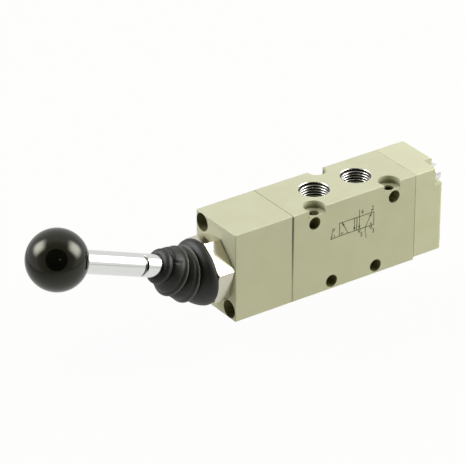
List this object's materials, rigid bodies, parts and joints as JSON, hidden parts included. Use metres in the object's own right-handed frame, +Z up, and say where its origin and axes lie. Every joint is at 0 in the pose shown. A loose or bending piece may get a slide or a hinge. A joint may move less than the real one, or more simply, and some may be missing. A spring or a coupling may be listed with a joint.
{
  "type": "hand lever air valve",
  "caption": "Compact rectangular air valve block with threaded ports above and below, worked by a tilting hand lever with a ball knob and a ribbed rubber boot.",
  "frame": {"origin": "centre of port 1's mouth on the valve body's underside", "axes": "+X runs along the bore to the end cap, +Z points up out of ports 2 and 4, and the lever leaves the -X end"},
  "size_m": [0.1459, 0.0212, 0.0449],
  "materials": {
    "body_coating": "fine satin beige coating on machined aluminium",
    "gasket": "matt black sheet rubber",
    "zinc_steel": "bright zinc plated steel",
    "nickel": "bright nickel plated brass",
    "steel": "ground steel",
    "rod_chrome": "bright chrome plated steel",
    "knob": "high gloss black thermoset",
    "brass": "machined brass",
    "boot_rubber": "soft satin black moulded rubber",
    "seal_rubber": "matt black nitrile rubber",
    "spool_aluminium": "hard anodised, ground",
    "spacer": "natural acetal"
  },
  "bodies": {
    "valve": {"valve_body": "body_coating", "actuator_block": "body_coating", "end_cap": "body_coating", "front_gasket": "gasket", "rear_gasket": "gasket", "actuator_screws": "zinc_steel", "end_cap_screws": "zinc_steel", "hex_bushing": "nickel", "pivot_pin": "steel", "boot": "boot_rubber", "detent_bush": "brass", "detent_ring": "steel", "stem_seal": "seal_rubber", "end_bumper": "seal_rubber", "spool_seal_1": "seal_rubber", "spool_seal_2": "seal_rubber", "spool_seal_3": "seal_rubber", "spool_seal_4": "seal_rubber", "spool_seal_5": "seal_rubber", "spool_seal_6": "seal_rubber", "spool_spacer_1": "spacer", "spool_spacer_2": "spacer", "spool_spacer_3": "spacer", "spool_spacer_4": "spacer", "spool_spacer_5": "spacer"},
    "lever": {"lever_rod": "rod_chrome", "ball_knob": "knob", "knob_insert": "brass"},
    "spool": {"spool_driver": "steel", "spool": "spool_aluminium"}
  },
  "joints": [
    {"name": "lever_tilt", "type": "hinge", "parent": "valve", "child": "lever", "pos_m": [-0.04886, 0, 0.01515], "axis": [0, -1, 0], "range_deg": [0, 41.76], "deforming": ["boot"]},
    {"name": "spool_slide", "type": "slide", "parent": "valve", "child": "spool", "axis": [-1, 0, 0], "range_m": [0, 0.00381], "deforming": ["detent_ring"]}
  ],
  "couplings": [
    {"joint": "spool_slide", "follows": "lever_tilt", "m_per_rad": 0.005232}
  ]
}
